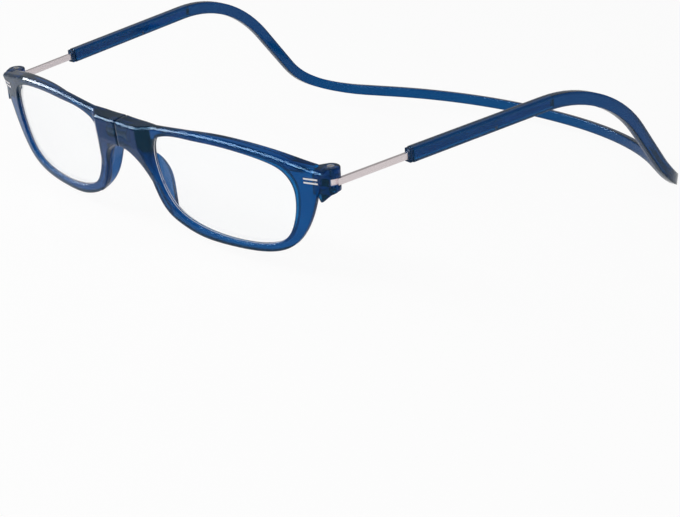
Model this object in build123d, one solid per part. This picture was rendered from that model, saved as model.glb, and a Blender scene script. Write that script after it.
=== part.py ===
"""Reading glasses whose front opens at a magnetic bridge, on a one-piece headband.

Millimetres, +Z up, the wearer faces -Y and +X is the wearer's left.
The glasses rest on a table at Z = 0: the lens rims in front, the headband's back behind.
"""
from build123d import *
import os
from math import asin, cos, degrees, radians, sin, sqrt, tan

os.makedirs("parts", exist_ok=True)

# Driving dimensions
overall_length = 211.3
front_half_width = 70.6
front_height = 32.95
arm_rise = 9.05
pantoscopic_tilt = 5.45
arm_splay = 6.1

# Lens rims, in the plane of the front: x to the side, d to the rear, h up
front_curve_radius = 250.0
rim_depth = 2.5
top_bevel = 0.8
rim_edge_round = 0.35
side_back_round = 1.2
brow_back_round = 0.6
seam_gap = 0.1
seam_groove = 0.45
overrun = 6.0

# Places on the outline of one half, as shares of front_half_width and front_height
lower_edge_shares = [
    (0.0, 0.722), (0.052, 0.703), (0.099, 0.617), (0.135, 0.475), (0.164, 0.305), (0.203, 0.177),
    (0.277, 0.083), (0.367, 0.024), (0.456, 0.003), (0.535, 0.0), (0.671, 0.013), (0.764, 0.056),
    (0.826, 0.127), (0.868, 0.223), (0.902, 0.340), (0.934, 0.500), (0.957, 0.660), (0.971, 0.755),
    (1.0, 0.830),
]
top_edge_shares = [
    (1.0, 0.830), (0.892, 0.876), (0.793, 0.926), (0.694, 0.962), (0.595, 0.986), (0.496, 0.999),
    (0.397, 0.999), (0.297, 0.986), (0.188, 0.968), (0.0, 0.964),
]
opening_shares = [
    (0.227, 0.893), (0.297, 0.926), (0.397, 0.932), (0.510, 0.932), (0.635, 0.911), (0.751, 0.866),
    (0.819, 0.801), (0.854, 0.690), (0.859, 0.534), (0.840, 0.350), (0.798, 0.190), (0.708, 0.089),
    (0.595, 0.059), (0.453, 0.071), (0.333, 0.125), (0.248, 0.220), (0.193, 0.407), (0.170, 0.600),
    (0.172, 0.780), (0.193, 0.858),
]

# The brow's shelf behind the top of the rim
shelf_depth = 4.0
shelf_back_shares = [(0.36, 0.45), (0.50, 0.74), (0.65, 0.88), (0.80, 0.95), (0.935, 1.0)]
shelf_bottom_share = 0.80

# Lenses
lens_groove = 0.6
lens_clearance = 0.05
lens_front_radius = 160.0
lens_back_radius = 260.0
lens_thickness = 1.9
lens_inset = 0.25
tongue_inset = 0.25
tongue_thickness = 0.8
lens_centre_share = 0.517

# Bridge block with its magnet
block_reach = 2.0
block_depth = 3.0
block_half_width = 8.75
block_slope_width = 4.2
block_skirt = 8.0
block_slope_height = 10.9
block_foot_inset = 0.25
magnet_radius = 1.9
magnet_length = 4.2
magnet_height = 27.65
pocket_clearance = 0.05

# Nose pads
pad_thickness = 2.0
pad_reach = 5.6
pad_height = 18.3
pad_bottom = 3.9
pad_inner_x = 6.2
pad_flare = 7.5
pad_profile_shares = [(0.0, 1.0), (0.6, 0.97), (0.95, 0.8), (1.0, 0.62), (0.85, 0.38), (0.5, 0.15), (0.0, 0.0)]

# Hinge, measured from the top of the upper ear on the screw's axis
hinge_inset = 1.94
hinge_setback = 5.05
hinge_height = 27.55
ear_radius = 2.6
ear_round = 0.4
upper_ear = 2.85
ear_slot = 2.2
lower_ear = 1.55
slot_front = 2.2
endpiece_reach = 3.4
endpiece_front_radius = 0.8
endpiece_root_radius = 0.6
flare_drop = 2.4
flare_knee_share = 0.3
brow_drop = 0.8
screw_radius = 0.6
screw_head_radius = 1.0
screw_head_height = 0.5
screw_head_proud = 0.12
screw_slot_width = 0.3
screw_slot_depth = 0.25
insert_radius = 1.15
running_clearance = 0.05
fixed_clearance = 0.02

# Temple rods, measured from the hinge along the arm
rod_offset = 2.15
rod_thickness = 1.0
rod_height = 1.9
rod_start = 0.2
rod_length = 61.5
rod_eye_radius = 1.9
rod_neck_length = 1.8
lug_length = 3.2
lug_drop = 0.5
rod_travel = 20.0
rod_clearance = 0.12

# Two plain metal bars set into the front of each endpiece
bar_length = 4.3
bar_height = 0.5
bar_depth = 0.6
bar_proud = 0.1
bar_pitch = 1.15
bar_inset = 4.3
bar_centre_height = 24.95

# Headband
mouth_distance = 25.2
arm_height = 4.1
back_height = 3.5
arm_thickness = 2.4
back_thickness = 2.2
band_overhang = 13.2
arm_bend_share = 0.72
shoulder_depth = 43.8
shoulder_angle = 48.0
plan_blend_shares = [0.3, 0.28, 0.95]
hump_distance = 81.0
drop_angle = 42.0
profile_blend_shares = [0.42, 0.26]
collar_length = 1.1
collar_inset = 0.12
stop_pin_radius = 0.3
stop_pin_clearance = 0.06

lean = arm_rise + pantoscopic_tilt
hinge_x = front_half_width - hinge_inset
bar_x = front_half_width - bar_inset
band_half_width = front_half_width + band_overhang
rod_axis_drop = upper_ear + ear_slot / 2


def sag(x, radius=front_curve_radius):
    """Depth of the curved front at a place x from the middle."""
    return radius - sqrt(radius ** 2 - x ** 2)


def outline_points(shares):
    return [(x * front_half_width, h * front_height) for x, h in shares]


def upright(face_or_wire):
    """Stand a drawing of (x, h) up, so that it can be extruded to the rear."""
    return Rot(X=90) * face_or_wire


def through(face, start, end):
    """A solid from a drawing of (x, h) between two depths."""
    return extrude(Pos(0, start, 0) * upright(face), amount=end - start, dir=(0, 1, 0))


def flat(face, bottom, top):
    """A solid from a drawing of (x, d) between two heights."""
    return extrude(Pos(0, 0, bottom) * face, amount=top - bottom, dir=(0, 0, 1))


def side(points, start, end):
    """A solid from a polygon of (d, h) places between two places x."""
    wire = Polyline(*[(start, d, h) for d, h in points], close=True)
    return extrude(make_face(wire), amount=end - start, dir=(1, 0, 0))


def strip(points, half_widths, blend_shares):
    """A flat strip along a path, its width set at each point.

    Each corner's rounding starts a share of the shorter leg away from the corner.
    """
    legs = [Vector(*after) - Vector(*before) for before, after in zip(points, points[1:])]
    half_turns = [radians(before.get_angle(after)) / 2 for before, after in zip(legs, legs[1:])]
    edges = []
    for hand in (1, -1):
        corners = []
        for i, point in enumerate(points):
            before = legs[max(i - 1, 0)].normalized()
            after = legs[min(i, len(legs) - 1)].normalized()
            across = (before + after).normalized().rotate(Axis.Z, 90)
            miter = half_widths[i] / cos(radians(before.get_angle(after)) / 2)
            corners.append(Vector(*point) + across * (hand * miter))
        radii = []
        for i, share in enumerate(blend_shares):
            reach = share * min(legs[i].length, legs[i + 1].length)
            left_turn = 1 if legs[i].cross(legs[i + 1]).Z > 0 else -1
            radii.append(reach / tan(half_turns[i]) - hand * left_turn * half_widths[i + 1])
        edges.append(FilletPolyline(*corners, radius=radii))
    ends = [Line(edges[0] @ 0, edges[1] @ 0), Line(edges[0] @ 1, edges[1] @ 1)]
    return make_face(edges[0].edges() + edges[1].edges() + ends)


# Lens rim of the wearer's left half
def half_outline():
    lower = Spline(*outline_points(lower_edge_shares))
    top = Spline(*outline_points(top_edge_shares))
    seam = Line(top @ 1, lower @ 0)
    return make_face([lower, top, seam])


def opening_outline(grow=0.0):
    """The lens opening, or a line round it that lies further out."""
    points = [Vector(*point) for point in outline_points(opening_shares)]
    grown = []
    for i, point in enumerate(points):
        along = points[(i + 1) % len(points)] - points[i - 1]
        grown.append(point + along.normalized().rotate(Axis.Z, 90) * grow)
    return make_face(Spline(*grown, periodic=True))


def curved_slab(front, rear):
    """The space between two arcs about the front's centre of curvature."""
    ring = Circle(front_curve_radius - front) - Circle(front_curve_radius - rear)
    return flat(Pos(0, front_curve_radius) * ring, -overrun, front_height + overrun)


lens_centre_x = front_half_width * lens_centre_share
lens_wrap = asin(lens_centre_x / front_curve_radius)
lens_normal = Vector(-sin(lens_wrap), cos(lens_wrap), 0)
lens_crown = Vector(lens_centre_x, sag(lens_centre_x), front_height / 2) + lens_normal * lens_inset


def lens_front_ball(set_back):
    """The ball whose surface is the lens's front, set back by an amount."""
    return Pos(*(lens_crown + lens_normal * lens_front_radius)) * Sphere(lens_front_radius - set_back)


def lens_tongue(clearance=0.0):
    """The thin edge of the lens that sits in the rim's groove, or the groove itself."""
    outline = through(opening_outline(lens_groove + clearance), -overrun, front_half_width / 2)
    rear = tongue_inset + tongue_thickness + clearance
    return (outline & lens_front_ball(tongue_inset - clearance)) - lens_front_ball(rear)


def lens():
    outline = through(opening_outline(-lens_clearance), -overrun, front_half_width / 2)
    back = Pos(*(lens_crown + lens_normal * (lens_thickness + lens_back_radius))) * Sphere(lens_back_radius)
    return ((outline & lens_front_ball(0)) - back) + lens_tongue()


def edges_on_arc(body, radius):
    """The edges that lie at a radius from the front's centre of curvature, lowest first."""
    def on_arc(edge):
        place = edge @ 0.5
        distance = sqrt(place.X ** 2 + (place.Y - front_curve_radius) ** 2)
        return abs(distance - radius) < rim_depth / 100
    return body.edges().filter_by(on_arc).sort_by(Axis.Z)


def rim():
    """The curved rim of one half, its brow bevelled and its edges rounded."""
    back_radius = front_curve_radius - rim_depth
    body = through(half_outline(), -overrun, front_half_width) & curved_slab(0, rim_depth)
    body = chamfer(edges_on_arc(body, front_curve_radius)[-1], top_bevel)
    body = fillet(edges_on_arc(body, back_radius)[0], side_back_round)
    body = fillet(edges_on_arc(body, back_radius)[-1], brow_back_round)
    body = body - through(opening_outline(), -overrun, front_half_width)
    window_edges = edges_on_arc(body, front_curve_radius).filter_by(lambda edge: edge.is_closed)
    return fillet(window_edges, rim_edge_round)


def bridge_block():
    """The thick block round the magnet, sloping back to the rim at its side and foot."""
    slope_end = block_half_width + block_slope_width
    rim_face = sag(slope_end) + block_foot_inset
    plan = make_face(Polyline(
        (0, -block_reach), (block_half_width, -block_reach), (slope_end, rim_face),
        (slope_end, sag(slope_end) + rim_depth - block_foot_inset), (block_half_width, block_depth),
        (0, block_depth), close=True))
    top = front_height
    skirt = top - block_skirt
    foot = skirt - block_slope_height
    profile = side([
        (-block_reach, top), (-block_reach, skirt), (block_foot_inset, foot),
        (rim_depth, foot), (block_depth, skirt), (block_depth, top)], 0, slope_end)
    block = flat(plan, 0, top) & profile & through(half_outline(), -overrun, rim_depth + overrun)
    brow = block.edges().filter_by(
        lambda edge: (edge @ 0.5).Y < 0 and (edge @ 0.5).Z > top - block_skirt / 2
        and abs((edge @ 0).Z - (edge @ 1).Z) < top_bevel)
    return chamfer(brow, top_bevel) - seam_cuts() - through(opening_outline(), -overrun, front_half_width)


def seam_cuts():
    """Half of the V-groove that runs over the top and down the front where the halves meet."""
    front = flat(make_face(Polyline(
        (0, -block_reach), (seam_groove, -block_reach), (0, -block_reach + seam_groove), close=True)),
        0, front_height)
    seam_top = top_edge_shares[-1][1] * front_height
    top = through(make_face(Polyline(
        (0, seam_top), (seam_groove, seam_top), (0, seam_top - seam_groove), close=True)),
        -overrun, overrun)
    return front + top


def brow_shelf():
    """The brow grows deeper towards the endpiece, above the lens opening."""
    rear = []
    for x_share, depth_share in shelf_back_shares:
        x = x_share * front_half_width
        rear.append((x, sag(x) + depth_share * shelf_depth))
    start, end = rear[0][0], rear[-1][0]
    front = [(end, sag(end) + brow_back_round), (start, sag(start) + brow_back_round)]
    plan = make_face([Spline(*rear), Polyline(rear[-1], *front, rear[0])])
    shelf = flat(plan, shelf_bottom_share * front_height, front_height)
    return (shelf & through(half_outline(), -overrun, front_half_width)) - through(
        opening_outline(), -overrun, front_half_width)


def nose_pad():
    """A fin behind the nasal rim that spreads outwards to the rear."""
    inner = [(pad_inner_x, pad_bottom + pad_height)] + outline_points(lower_edge_shares[2:7])
    outer = [(x + pad_thickness, h) for x, h in inner]
    wall = make_face([
        Spline(*inner), Line(inner[-1], outer[-1]), Spline(*outer), Line(outer[0], inner[0])])
    slant = Vector(tan(radians(pad_flare)), 1, 0)
    root = rim_depth / 2
    fin = extrude(Pos(0, root, 0) * upright(wall), amount=pad_reach + rim_depth, dir=slant)
    edge = [(0, root + d * pad_reach, pad_bottom + h * pad_height) for d, h in pad_profile_shares]
    profile = make_face([Spline(*edge), Line(edge[-1], edge[0])])
    return fin & extrude(profile, amount=front_half_width / 2, dir=(1, 0, 0))


def hinge_place():
    """The top of the upper ear on the screw's axis, in the plane of the front."""
    return Pos(hinge_x, sag(hinge_x) + hinge_setback, hinge_height) * Rot(X=-pantoscopic_tilt)


hinge_depth = upper_ear + ear_slot + lower_ear


def endpiece():
    """The block behind the rim's end that carries the two ears, below its flat top."""
    ears = Circle(ear_radius)
    root = Pos(-endpiece_reach, -ear_radius + endpiece_root_radius) * Circle(endpiece_root_radius)
    front = Pos(0, -endpiece_reach) * Circle(endpiece_front_radius)
    plan = make_hull(ears.edges() + root.edges() + front.edges())
    body = flat(plan, -hinge_depth - flare_drop, 0)
    nose = -endpiece_reach - endpiece_front_radius
    profile = side([
        (ear_radius, 0), (ear_radius, -hinge_depth), (0, -hinge_depth),
        (nose / 2, -hinge_depth - flare_drop * flare_knee_share),
        (nose, -hinge_depth - flare_drop), (nose, -brow_drop), (-ear_radius, 0)],
        -overrun, overrun)
    body = body & profile
    rounded = body.faces().sort_by(Axis.Z)[-1].edges().filter_by(lambda edge: (edge @ 0.5).Y > -ear_radius)
    return fillet(rounded, ear_round)


def hinge_cuts():
    """The slot for the rod's eye and the holes for the screw and its insert."""
    slot = Pos(-ear_radius, -slot_front, -upper_ear) * Box(
        ear_radius + overrun, slot_front + overrun, ear_slot, align=(Align.MIN, Align.MIN, Align.MAX))
    head_room = screw_head_height - screw_head_proud
    shank = Cylinder(screw_radius + running_clearance, hinge_depth, align=(Align.CENTER, Align.CENTER, Align.MAX))
    head = Cylinder(screw_head_radius + running_clearance, head_room, align=(Align.CENTER, Align.CENTER, Align.MAX))
    insert = Pos(0, 0, -hinge_depth) * Cylinder(
        insert_radius + fixed_clearance, lower_ear, align=(Align.CENTER, Align.CENTER, Align.MIN))
    return slot + shank + head + insert


def trim_bars(clearance=0.0):
    """Two plain bars set into the end of the rim, side by side."""
    place = Pos(bar_x, sag(bar_x), bar_centre_height) * Rot(Z=degrees(asin(bar_x / front_curve_radius)))
    bars = []
    for step in (-1, 1):
        bars.append(place * Pos(0, -bar_proud, step * bar_pitch / 2) * Box(
            bar_length + clearance, bar_depth + clearance, bar_height + clearance,
            align=(Align.CENTER, Align.MIN, Align.CENTER)))
    return bars


def magnet(clearance=0.0):
    return Pos(seam_gap, (rim_depth - block_reach) / 2, magnet_height) * Rot(Y=90) * Cylinder(
        magnet_radius + clearance, magnet_length + clearance, align=(Align.CENTER, Align.CENTER, Align.MIN))


def front_half():
    body = rim() + brow_shelf() + bridge_block() + nose_pad() + hinge_place() * endpiece()
    body -= lens_tongue(lens_clearance)
    body -= hinge_place() * hinge_cuts()
    body -= magnet(pocket_clearance)
    for bar in trim_bars():
        body -= bar
    seam_side = Box(seam_gap, overall_length, overall_length, align=(Align.MIN, Align.CENTER, Align.CENTER))
    return body - seam_side


def hinge_screw():
    """A slotted cheese-head screw, its head let into the upper ear."""
    head = Pos(0, 0, screw_head_proud) * Cylinder(
        screw_head_radius, screw_head_height, align=(Align.CENTER, Align.CENTER, Align.MAX))
    shank = Cylinder(screw_radius, hinge_depth, align=(Align.CENTER, Align.CENTER, Align.MAX))
    slot = Pos(0, 0, screw_head_proud) * Box(
        screw_slot_width, screw_head_radius * 3, screw_slot_depth, align=(Align.CENTER, Align.CENTER, Align.MAX))
    return head + shank - slot


def hinge_insert():
    bush = Cylinder(insert_radius, lower_ear, align=(Align.CENTER, Align.CENTER, Align.MIN))
    bore = Cylinder(screw_radius + fixed_clearance, lower_ear, align=(Align.CENTER, Align.CENTER, Align.MIN))
    return Pos(0, 0, -hinge_depth) * (bush - bore)


# Temple rod, along +Y of its own frame with the screw's axis at the origin
rod_end = rod_start + rod_length
rod_bottom = -rod_axis_drop - rod_height / 2


def temple_rod():
    """A flat bar with an eye at its front and a lug below its rear end."""
    bar = Pos(rod_offset, rod_start, 0) * Rectangle(rod_thickness, rod_length, align=(Align.CENTER, Align.MIN))
    neck = Pos(0, rod_start) * Rectangle(rod_offset, rod_neck_length, align=(Align.MIN, Align.MIN))
    hole = Circle(screw_radius + running_clearance)
    body = flat(bar + neck + Circle(rod_eye_radius) - hole, rod_bottom, rod_bottom + rod_height)
    lug = Pos(rod_offset, rod_end, rod_bottom) * Box(
        rod_thickness, lug_length, lug_drop, align=(Align.CENTER, Align.MAX, Align.MAX))
    return body + lug


def rod_slot():
    start = mouth_distance
    length = rod_end + rod_travel + rod_clearance - start
    height = rod_height + lug_drop + 2 * rod_clearance
    return Pos(rod_offset, start, rod_bottom - lug_drop - rod_clearance) * Box(
        rod_thickness + 2 * rod_clearance, length, height, align=(Align.CENTER, Align.MIN, Align.MIN))


def stop_pin():
    """A pin across the arm, just ahead of the lug when the rod is drawn out."""
    reach = rod_end - lug_length - stop_pin_clearance - stop_pin_radius
    return Pos(rod_offset, reach, rod_bottom - stop_pin_clearance - stop_pin_radius) * Rot(Y=90) * Cylinder(
        stop_pin_radius, arm_thickness)


def rod_collar():
    """The lipped plate that closes the arm's mouth round the rod."""
    plate = Pos(rod_offset, mouth_distance, -rod_axis_drop) * Box(
        arm_thickness - 2 * collar_inset, collar_length, arm_height - 2 * collar_inset,
        align=(Align.CENTER, Align.MIN, Align.CENTER))
    hole = Pos(rod_offset, mouth_distance, -rod_axis_drop) * Box(
        rod_thickness + 2 * rod_clearance, collar_length, rod_height + 2 * rod_clearance,
        align=(Align.CENTER, Align.MIN, Align.CENTER))
    return plate - hole


def headband(rod_place):
    """The two arms and the back as one strip, drawn from above and from the side."""
    arm_start = mouth_distance + collar_length
    axis = rod_place * Pos(rod_offset, arm_start - overrun / 2, -rod_axis_drop)
    ahead = rod_place * Pos(rod_offset, arm_start, -rod_axis_drop)
    start = axis.position
    toward = (ahead.position - start).normalized()
    back_y = overall_length / 2 - back_thickness / 2

    shoulder = (band_half_width, back_y - shoulder_depth)
    bend_y = start.Y + (shoulder[1] - start.Y) * arm_bend_share
    bend = (start.X + (bend_y - start.Y) * toward.X / toward.Y, bend_y)
    nape = (band_half_width - shoulder_depth * tan(radians(shoulder_angle)), back_y)
    half_plan = strip(
        [(start.X, start.Y), bend, shoulder, nape, (0, back_y)],
        [arm_thickness / 2, arm_thickness / 2, arm_thickness / 2, back_thickness / 2, back_thickness / 2],
        plan_blend_shares)
    plan = half_plan + mirror(half_plan, about=Plane.YZ)

    hump = (start.Y + hump_distance * toward.Y, start.Z + hump_distance * toward.Z)
    foot_z = back_height / 2
    foot = (hump[0] + (hump[1] - foot_z) / tan(radians(drop_angle)), foot_z)
    profile = strip(
        [(start.Y, start.Z), hump, foot, (overall_length, foot_z)],
        [arm_height / 2, arm_height / 2, back_height / 2, back_height / 2],
        profile_blend_shares)
    wall = extrude(Plane.YZ * profile, amount=overall_length, both=True)
    band = flat(plan, -overrun, overall_length / 2) & wall
    for hand in (1, -1):
        mouth = Pos(rod_offset, arm_start, -rod_axis_drop) * Box(
            arm_thickness * 3, overall_length, arm_height * 3, align=(Align.CENTER, Align.MAX, Align.CENTER))
        slot = rod_slot()
        pin = stop_pin()
        for cut in (mouth, slot, pin):
            placed = rod_place * cut
            band -= placed if hand > 0 else mirrored(placed)
    return band


def mirrored(solid):
    return mirror(solid, about=Plane.YZ)


left_front = front_half()
low = (Rot(X=lean) * left_front).bounding_box().min
front_place = Pos(0, -overall_length / 2 - low.Y, -low.Z) * Rot(X=lean)
screw_place = front_place * hinge_place()
rod_place = screw_place * Rot(Z=-arm_splay)

left_pieces = {
    "front_frame": front_place * left_front,
    "lens": front_place * lens(),
    "bridge_magnet": front_place * magnet(),
    "trim_bars": front_place * Compound(children=trim_bars()),
    "hinge_screw": screw_place * hinge_screw(),
    "hinge_insert": screw_place * hinge_insert(),
    "temple_rod": rod_place * temple_rod(),
    "rod_collar": rod_place * rod_collar(),
    "stop_pin": rod_place * stop_pin(),
}

export_step(headband(rod_place), "parts/headband.step")
for name, piece in left_pieces.items():
    export_step(piece, f"parts/left_{name}.step")
    export_step(mirrored(piece), f"parts/right_{name}.step")

hinge_point = screw_place.position
print("hinge axis at", round(hinge_point.X, 4), round(hinge_point.Y, 4), round(hinge_point.Z, 4))
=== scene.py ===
"""Looks of the reading glasses with the magnetic bridge: materials, studio and camera."""

import math

import bpy
from mathutils import Matrix, Vector

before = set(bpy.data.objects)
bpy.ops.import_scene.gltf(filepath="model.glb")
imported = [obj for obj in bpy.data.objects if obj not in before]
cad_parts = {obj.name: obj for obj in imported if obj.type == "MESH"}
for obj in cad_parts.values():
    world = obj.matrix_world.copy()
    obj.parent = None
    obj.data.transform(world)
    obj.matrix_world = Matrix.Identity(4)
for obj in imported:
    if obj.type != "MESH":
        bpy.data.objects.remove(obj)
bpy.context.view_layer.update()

MM = 0.001

# Camera: its place in metres, its turns in degrees, its lens and sensor in millimetres
camera_place = Vector((362.7, -403.81, 149.73)) * MM
camera_azimuth = 42.5
camera_elevation = 18.65
camera_roll = 3.38
camera_lens = 90.0
camera_sensor = 36.0
camera_near = 0.01

# Floor, in metres, and its greys
floor_half_side = 3.0
floor_height = -4.0 * MM
floor_pitch = 0.05
floor_dark = 0.90
floor_bright = 0.92
floor_roughness = 0.9

# Lamps: the ends of their long middle lines and their widths in metres, their powers in watts
strip_start = Vector((-0.950, -0.160, 0.150))
strip_end = Vector((0.030, -0.745, 0.515))
strip_width = 0.06
strip_power = 3.6
card_width = 0.16
card_power = 6.0
fill_start = Vector((0.55, -0.80, 0.50))
fill_end = Vector((0.95, -0.40, 0.50))
fill_width = 0.50
fill_power = 2.5

# Background: the sky's plain light, and the shares of white that the floor and mirrored rays show
background_strength = 0.38
floor_glow = 0.93
sky_mirrored = 0.08
floor_mirrored = 0.35

# Optics of the clear and tinted pieces
plastic_ior = 1.42
plastic_specular = 0.15
plastic_sheen_tint = (0.34, 0.62, 1.0, 1.0)
lens_ior = 1.32
lens_roughness = 0.015

# Pitches and depths of the surface detail, in metres
brush_pitch = 0.12 * MM
mould_pitch = 9.0 * MM
grain_pitch = 0.35 * MM
plastic_relief = 0.008 * MM
metal_relief = 0.004 * MM
relief_strength = 0.5
noise_low = 0.3
noise_high = 0.7

# Radii of the edges' rounding in the shading, in metres, and its samples
front_edge_shine = 0.9 * MM
band_edge_shine = 1.2 * MM
collar_edge_shine = 0.3 * MM
edge_samples = 12

# Draw lines: how far they are drawn out along the axes, and the rods' own direction in degrees
along_x = (20.0, 1.0, 1.0)
pin_along_x = (10.0, 1.0, 1.0)
along_rod = (1.0, 60.0, 1.0)
along_z = (1.0, 1.0, 10.0)
no_stretch = (1.0, 1.0, 1.0)
no_turn = (0.0, 0.0, 0.0)
rod_turn = (9.0, 0.0, -6.18)


def new_material(name):
    """A node material with its nodes cleared down to one Principled shader."""
    material = bpy.data.materials.new(name)
    material.use_nodes = True
    nodes = material.node_tree.nodes
    nodes.clear()
    output = nodes.new("ShaderNodeOutputMaterial")
    shader = nodes.new("ShaderNodeBsdfPrincipled")
    material.node_tree.links.new(shader.outputs["BSDF"], output.inputs["Surface"])
    return material, shader


def first_node(tree, kind):
    return next(node for node in tree.nodes if node.type == kind)


def noise(material, pitch, detail, stretch=no_stretch, turn=no_turn):
    """Noise in object space, as fine as the pitch, drawn out along the axes and turned.

    The left half of the object has the mirror image of the right half's noise.
    """
    nodes, links = material.node_tree.nodes, material.node_tree.links
    place = nodes.new("ShaderNodeTexCoord")
    apart = nodes.new("ShaderNodeSeparateXYZ")
    mirror = nodes.new("ShaderNodeMath")
    mirror.operation = "ABSOLUTE"
    joined = nodes.new("ShaderNodeCombineXYZ")
    links.new(place.outputs["Object"], apart.inputs["Vector"])
    links.new(apart.outputs["X"], mirror.inputs[0])
    links.new(mirror.outputs["Value"], joined.inputs["X"])
    links.new(apart.outputs["Y"], joined.inputs["Y"])
    links.new(apart.outputs["Z"], joined.inputs["Z"])
    mapping = nodes.new("ShaderNodeMapping")
    mapping.vector_type = "TEXTURE"
    mapping.inputs["Scale"].default_value = stretch
    mapping.inputs["Rotation"].default_value = [math.radians(angle) for angle in turn]
    texture = nodes.new("ShaderNodeTexNoise")
    texture.inputs["Scale"].default_value = 1.0 / pitch
    texture.inputs["Detail"].default_value = detail
    links.new(joined.outputs["Vector"], mapping.inputs["Vector"])
    links.new(mapping.outputs["Vector"], texture.inputs["Vector"])
    return texture.outputs["Fac"]


def ramp(material, value, low, high, socket):
    """Colours or values between two ends, chosen by a noise value."""
    nodes, links = material.node_tree.nodes, material.node_tree.links
    blend = nodes.new("ShaderNodeValToRGB")
    blend.color_ramp.elements[0].position = noise_low
    blend.color_ramp.elements[1].position = noise_high
    blend.color_ramp.elements[0].color = low
    blend.color_ramp.elements[1].color = high
    links.new(value, blend.inputs["Fac"])
    links.new(blend.outputs["Color"], socket)


def grey(value):
    return (value, value, value, 1.0)


def bump(material, shader, value, depth):
    """A fine relief on the shader's normal. Returns its node."""
    nodes, links = material.node_tree.nodes, material.node_tree.links
    relief = nodes.new("ShaderNodeBump")
    relief.inputs["Distance"].default_value = depth
    relief.inputs["Strength"].default_value = relief_strength
    links.new(value, relief.inputs["Height"])
    links.new(relief.outputs["Normal"], shader.inputs["Normal"])
    return relief


def translucent_plastic(name, deep, light, transmission, roughness, absorbed, density, edge_shine):
    """Polished plastic, tinted through, with the slow colour drift and faint waviness of moulding."""
    material, shader = new_material(name)
    drift = noise(material, mould_pitch, detail=2.0)
    ramp(material, drift, deep, light, shader.inputs["Base Color"])
    shader.inputs["Transmission Weight"].default_value = transmission
    shader.inputs["IOR"].default_value = plastic_ior
    shader.inputs["Specular IOR Level"].default_value = plastic_specular
    shader.inputs["Specular Tint"].default_value = plastic_sheen_tint
    polish = noise(material, grain_pitch * 4, detail=3.0)
    ramp(material, polish, grey(roughness * 0.7), grey(roughness * 1.4), shader.inputs["Roughness"])
    waves = noise(material, mould_pitch * 0.6, detail=1.0)
    relief = bump(material, shader, waves, plastic_relief)
    tree = material.node_tree
    edges = tree.nodes.new("ShaderNodeBevel")
    edges.samples = edge_samples
    edges.inputs["Radius"].default_value = edge_shine
    tree.links.new(edges.outputs["Normal"], relief.inputs["Normal"])
    depths = tree.nodes.new("ShaderNodeVolumeAbsorption")
    depths.inputs["Color"].default_value = absorbed
    depths.inputs["Density"].default_value = density
    output = first_node(tree, "OUTPUT_MATERIAL")
    tree.links.new(depths.outputs["Volume"], output.inputs["Volume"])
    return material


def clear_lens():
    """Clear hard-coated plastic with the faintest cool tint."""
    material, shader = new_material("clear_lens")
    drift = noise(material, mould_pitch * 2, detail=1.0)
    ramp(material, drift, (0.985, 0.993, 1.0, 1.0), (0.99, 0.996, 1.0, 1.0), shader.inputs["Base Color"])
    shader.inputs["Transmission Weight"].default_value = 1.0
    shader.inputs["IOR"].default_value = lens_ior
    polish = noise(material, grain_pitch * 8, detail=2.0)
    ramp(material, polish, grey(0.0), grey(lens_roughness), shader.inputs["Roughness"])
    return material


def brushed_metal(name, dark, bright, roughness, stretch, turn=no_turn):
    """Satin metal with fine draw lines along the piece."""
    material, shader = new_material(name)
    lines = noise(material, brush_pitch, 5.0, stretch, turn)
    ramp(material, lines, dark, bright, shader.inputs["Base Color"])
    shader.inputs["Metallic"].default_value = 1.0
    ramp(material, lines, grey(roughness * 0.8), grey(roughness * 1.3), shader.inputs["Roughness"])
    bump(material, shader, lines, metal_relief)
    return material


def dress(material, *names):
    """Give a CAD node, or the left and right ones of a pair, a material."""
    for name in names:
        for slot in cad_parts[name].material_slots:
            slot.material = material


def both(name):
    return f"left_{name}", f"right_{name}"


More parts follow.
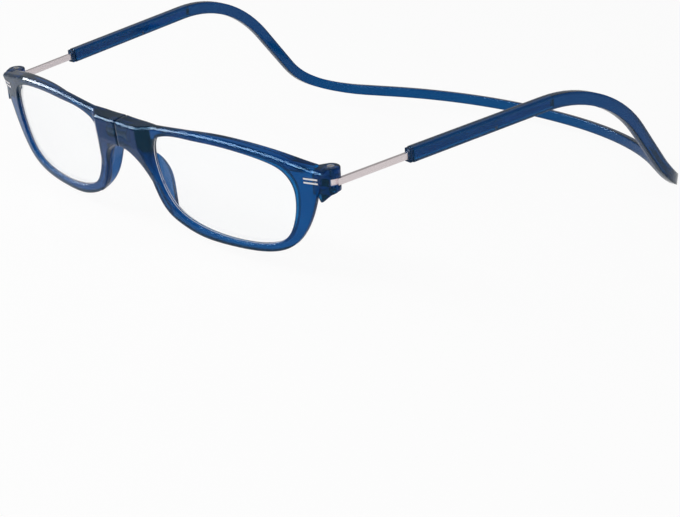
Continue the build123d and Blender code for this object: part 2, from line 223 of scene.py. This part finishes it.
def dress_object():
    blue_front = translucent_plastic(
        "blue_front", deep=(0.008, 0.28, 0.56, 1.0), light=(0.012, 0.32, 0.62, 1.0),
        transmission=0.95, roughness=0.04,
        absorbed=(0.02, 0.40, 0.66, 1.0), density=1000.0, edge_shine=front_edge_shine)
    blue_band = translucent_plastic(
        "blue_band", deep=(0.014, 0.24, 0.50, 1.0), light=(0.020, 0.28, 0.55, 1.0),
        transmission=0.93, roughness=0.06,
        absorbed=(0.02, 0.40, 0.62, 1.0), density=1200.0, edge_shine=band_edge_shine)
    navy_collar = translucent_plastic(
        "navy_collar", deep=(0.015, 0.10, 0.27, 1.0), light=(0.020, 0.13, 0.32, 1.0),
        transmission=0.85, roughness=0.08,
        absorbed=(0.04, 0.36, 0.58, 1.0), density=1200.0, edge_shine=collar_edge_shine)
    silver_rod = brushed_metal(
        "silver_rod", dark=(0.82, 0.73, 0.74, 1.0), bright=(0.95, 0.87, 0.88, 1.0),
        roughness=0.26, stretch=along_rod, turn=rod_turn)
    silver_trim = brushed_metal(
        "silver_trim", dark=(0.70, 0.69, 0.70, 1.0), bright=(0.86, 0.85, 0.86, 1.0),
        roughness=0.14, stretch=along_x)
    silver_screw = brushed_metal(
        "silver_screw", dark=(0.60, 0.60, 0.62, 1.0), bright=(0.80, 0.80, 0.82, 1.0),
        roughness=0.18, stretch=along_z)
    brass_insert = brushed_metal(
        "brass_insert", dark=(0.50, 0.36, 0.13, 1.0), bright=(0.70, 0.53, 0.22, 1.0),
        roughness=0.25, stretch=along_z)
    dark_pin = brushed_metal(
        "dark_pin", dark=(0.06, 0.065, 0.075, 1.0), bright=(0.12, 0.125, 0.14, 1.0),
        roughness=0.3, stretch=pin_along_x)
    dark_magnet = brushed_metal(
        "dark_magnet", dark=(0.05, 0.05, 0.055, 1.0), bright=(0.13, 0.13, 0.135, 1.0),
        roughness=0.3, stretch=no_stretch)
    dress(blue_band, "headband")
    dress(blue_front, *both("front_frame"))
    dress(clear_lens(), *both("lens"))
    dress(silver_rod, *both("temple_rod"))
    dress(silver_trim, *both("trim_bars"))
    dress(silver_screw, *both("hinge_screw"))
    dress(brass_insert, *both("hinge_insert"))
    dress(navy_collar, *both("rod_collar"))
    dress(dark_pin, *both("stop_pin"))
    dress(dark_magnet, *both("bridge_magnet"))


def seen_by_camera_or_glass(tree, mirror_share):
    """1 for rays that show the background, straight or through glass, and a share for mirrored ones."""
    nodes, links = tree.nodes, tree.links
    path = nodes.new("ShaderNodeLightPath")
    straight = nodes.new("ShaderNodeMath")
    straight.operation = "MAXIMUM"
    links.new(path.outputs["Is Camera Ray"], straight.inputs[0])
    links.new(path.outputs["Is Transmission Ray"], straight.inputs[1])
    mirrored = nodes.new("ShaderNodeMath")
    mirrored.operation = "MULTIPLY"
    mirrored.inputs[1].default_value = mirror_share
    links.new(path.outputs["Is Glossy Ray"], mirrored.inputs[0])
    either = nodes.new("ShaderNodeMath")
    either.operation = "MAXIMUM"
    links.new(straight.outputs[0], either.inputs[0])
    links.new(mirrored.outputs[0], either.inputs[1])
    return either.outputs[0]


def white_world():
    """A white background over a dimmer sky that gives the object its plain light."""
    world = bpy.data.worlds.new("studio")
    bpy.context.scene.world = world
    world.use_nodes = True
    tree = world.node_tree
    tree.nodes.clear()
    output = tree.nodes.new("ShaderNodeOutputWorld")
    soft = tree.nodes.new("ShaderNodeBackground")
    soft.inputs["Strength"].default_value = background_strength
    white = tree.nodes.new("ShaderNodeBackground")
    white.inputs["Strength"].default_value = 1.0
    mix = tree.nodes.new("ShaderNodeMixShader")
    tree.links.new(seen_by_camera_or_glass(tree, sky_mirrored), mix.inputs["Fac"])
    tree.links.new(soft.outputs[0], mix.inputs[1])
    tree.links.new(white.outputs[0], mix.inputs[2])
    tree.links.new(mix.outputs[0], output.inputs["Surface"])


def pale_floor():
    """A white table top that shows white but keeps a soft shadow.

    It lies a little low, so that a half front that swings down on its hinge stays above it.
    """
    bpy.ops.object.select_all(action="DESELECT")
    bpy.ops.mesh.primitive_plane_add(size=2 * floor_half_side, location=(0, 0, floor_height))
    floor = bpy.context.object
    floor.name = "floor"
    material, shader = new_material("floor")
    shade = noise(material, floor_pitch, detail=2.0)
    ramp(material, shade, grey(floor_dark), grey(floor_bright), shader.inputs["Base Color"])
    shader.inputs["Roughness"].default_value = floor_roughness
    tree = material.node_tree
    glow = tree.nodes.new("ShaderNodeEmission")
    glow.inputs["Strength"].default_value = 1.0
    share = tree.nodes.new("ShaderNodeMath")
    share.operation = "MULTIPLY"
    share.inputs[1].default_value = floor_glow
    tree.links.new(seen_by_camera_or_glass(tree, floor_mirrored), share.inputs[0])
    mix = tree.nodes.new("ShaderNodeMixShader")
    output = first_node(tree, "OUTPUT_MATERIAL")
    tree.links.new(share.outputs[0], mix.inputs["Fac"])
    tree.links.new(shader.outputs["BSDF"], mix.inputs[1])
    tree.links.new(glow.outputs[0], mix.inputs[2])
    tree.links.new(mix.outputs[0], output.inputs["Surface"])
    floor.data.materials.append(material)


def strip_light(name, start, end, width, power):
    """A rectangular lamp from one end to the other, turned to face the glasses. Returns it."""
    light = bpy.data.lights.new(name, "AREA")
    light.shape = "RECTANGLE"
    light.size = (end - start).length
    light.size_y = width
    light.energy = power
    lamp = bpy.data.objects.new(name, light)
    middle = (start + end) / 2
    along = (end - start).normalized()
    away = middle.normalized()
    up = away.cross(along).normalized()
    turn = Matrix((along, up, along.cross(up))).transposed()
    lamp.matrix_world = Matrix.Translation(middle) @ turn.to_4x4()
    lamp.visible_transmission = False
    bpy.context.collection.objects.link(lamp)
    return lamp


def studio():
    white_world()
    pale_floor()
    strip_light("main", strip_start, strip_end, strip_width, strip_power)
    card = strip_light("mirrored card", strip_start, strip_end, card_width, card_power)
    card.visible_diffuse = False
    strip_light("fill", fill_start, fill_end, fill_width, fill_power)


def photo_camera():
    """The camera at the photograph's own place, turned by its azimuth, elevation and roll."""
    azimuth, elevation, roll = (math.radians(a) for a in (camera_azimuth, camera_elevation, camera_roll))
    back = Vector((math.sin(azimuth) * math.cos(elevation),
                   -math.cos(azimuth) * math.cos(elevation), math.sin(elevation)))
    level_right = Vector((math.cos(azimuth), math.sin(azimuth), 0.0))
    level_up = back.cross(level_right)
    right = level_right * math.cos(roll) + level_up * math.sin(roll)
    up = back.cross(right)
    camera = bpy.data.cameras.new("camera")
    camera.lens = camera_lens
    camera.sensor_width = camera_sensor
    camera.sensor_fit = "HORIZONTAL"
    camera.clip_start = camera_near
    holder = bpy.data.objects.new("camera", camera)
    turn = Matrix((right, up, back)).transposed()
    holder.matrix_world = Matrix.Translation(camera_place) @ turn.to_4x4()
    bpy.context.collection.objects.link(holder)
    bpy.context.scene.camera = holder


dress_object()
studio()
photo_camera()
bpy.context.scene.view_settings.view_transform = "Standard"
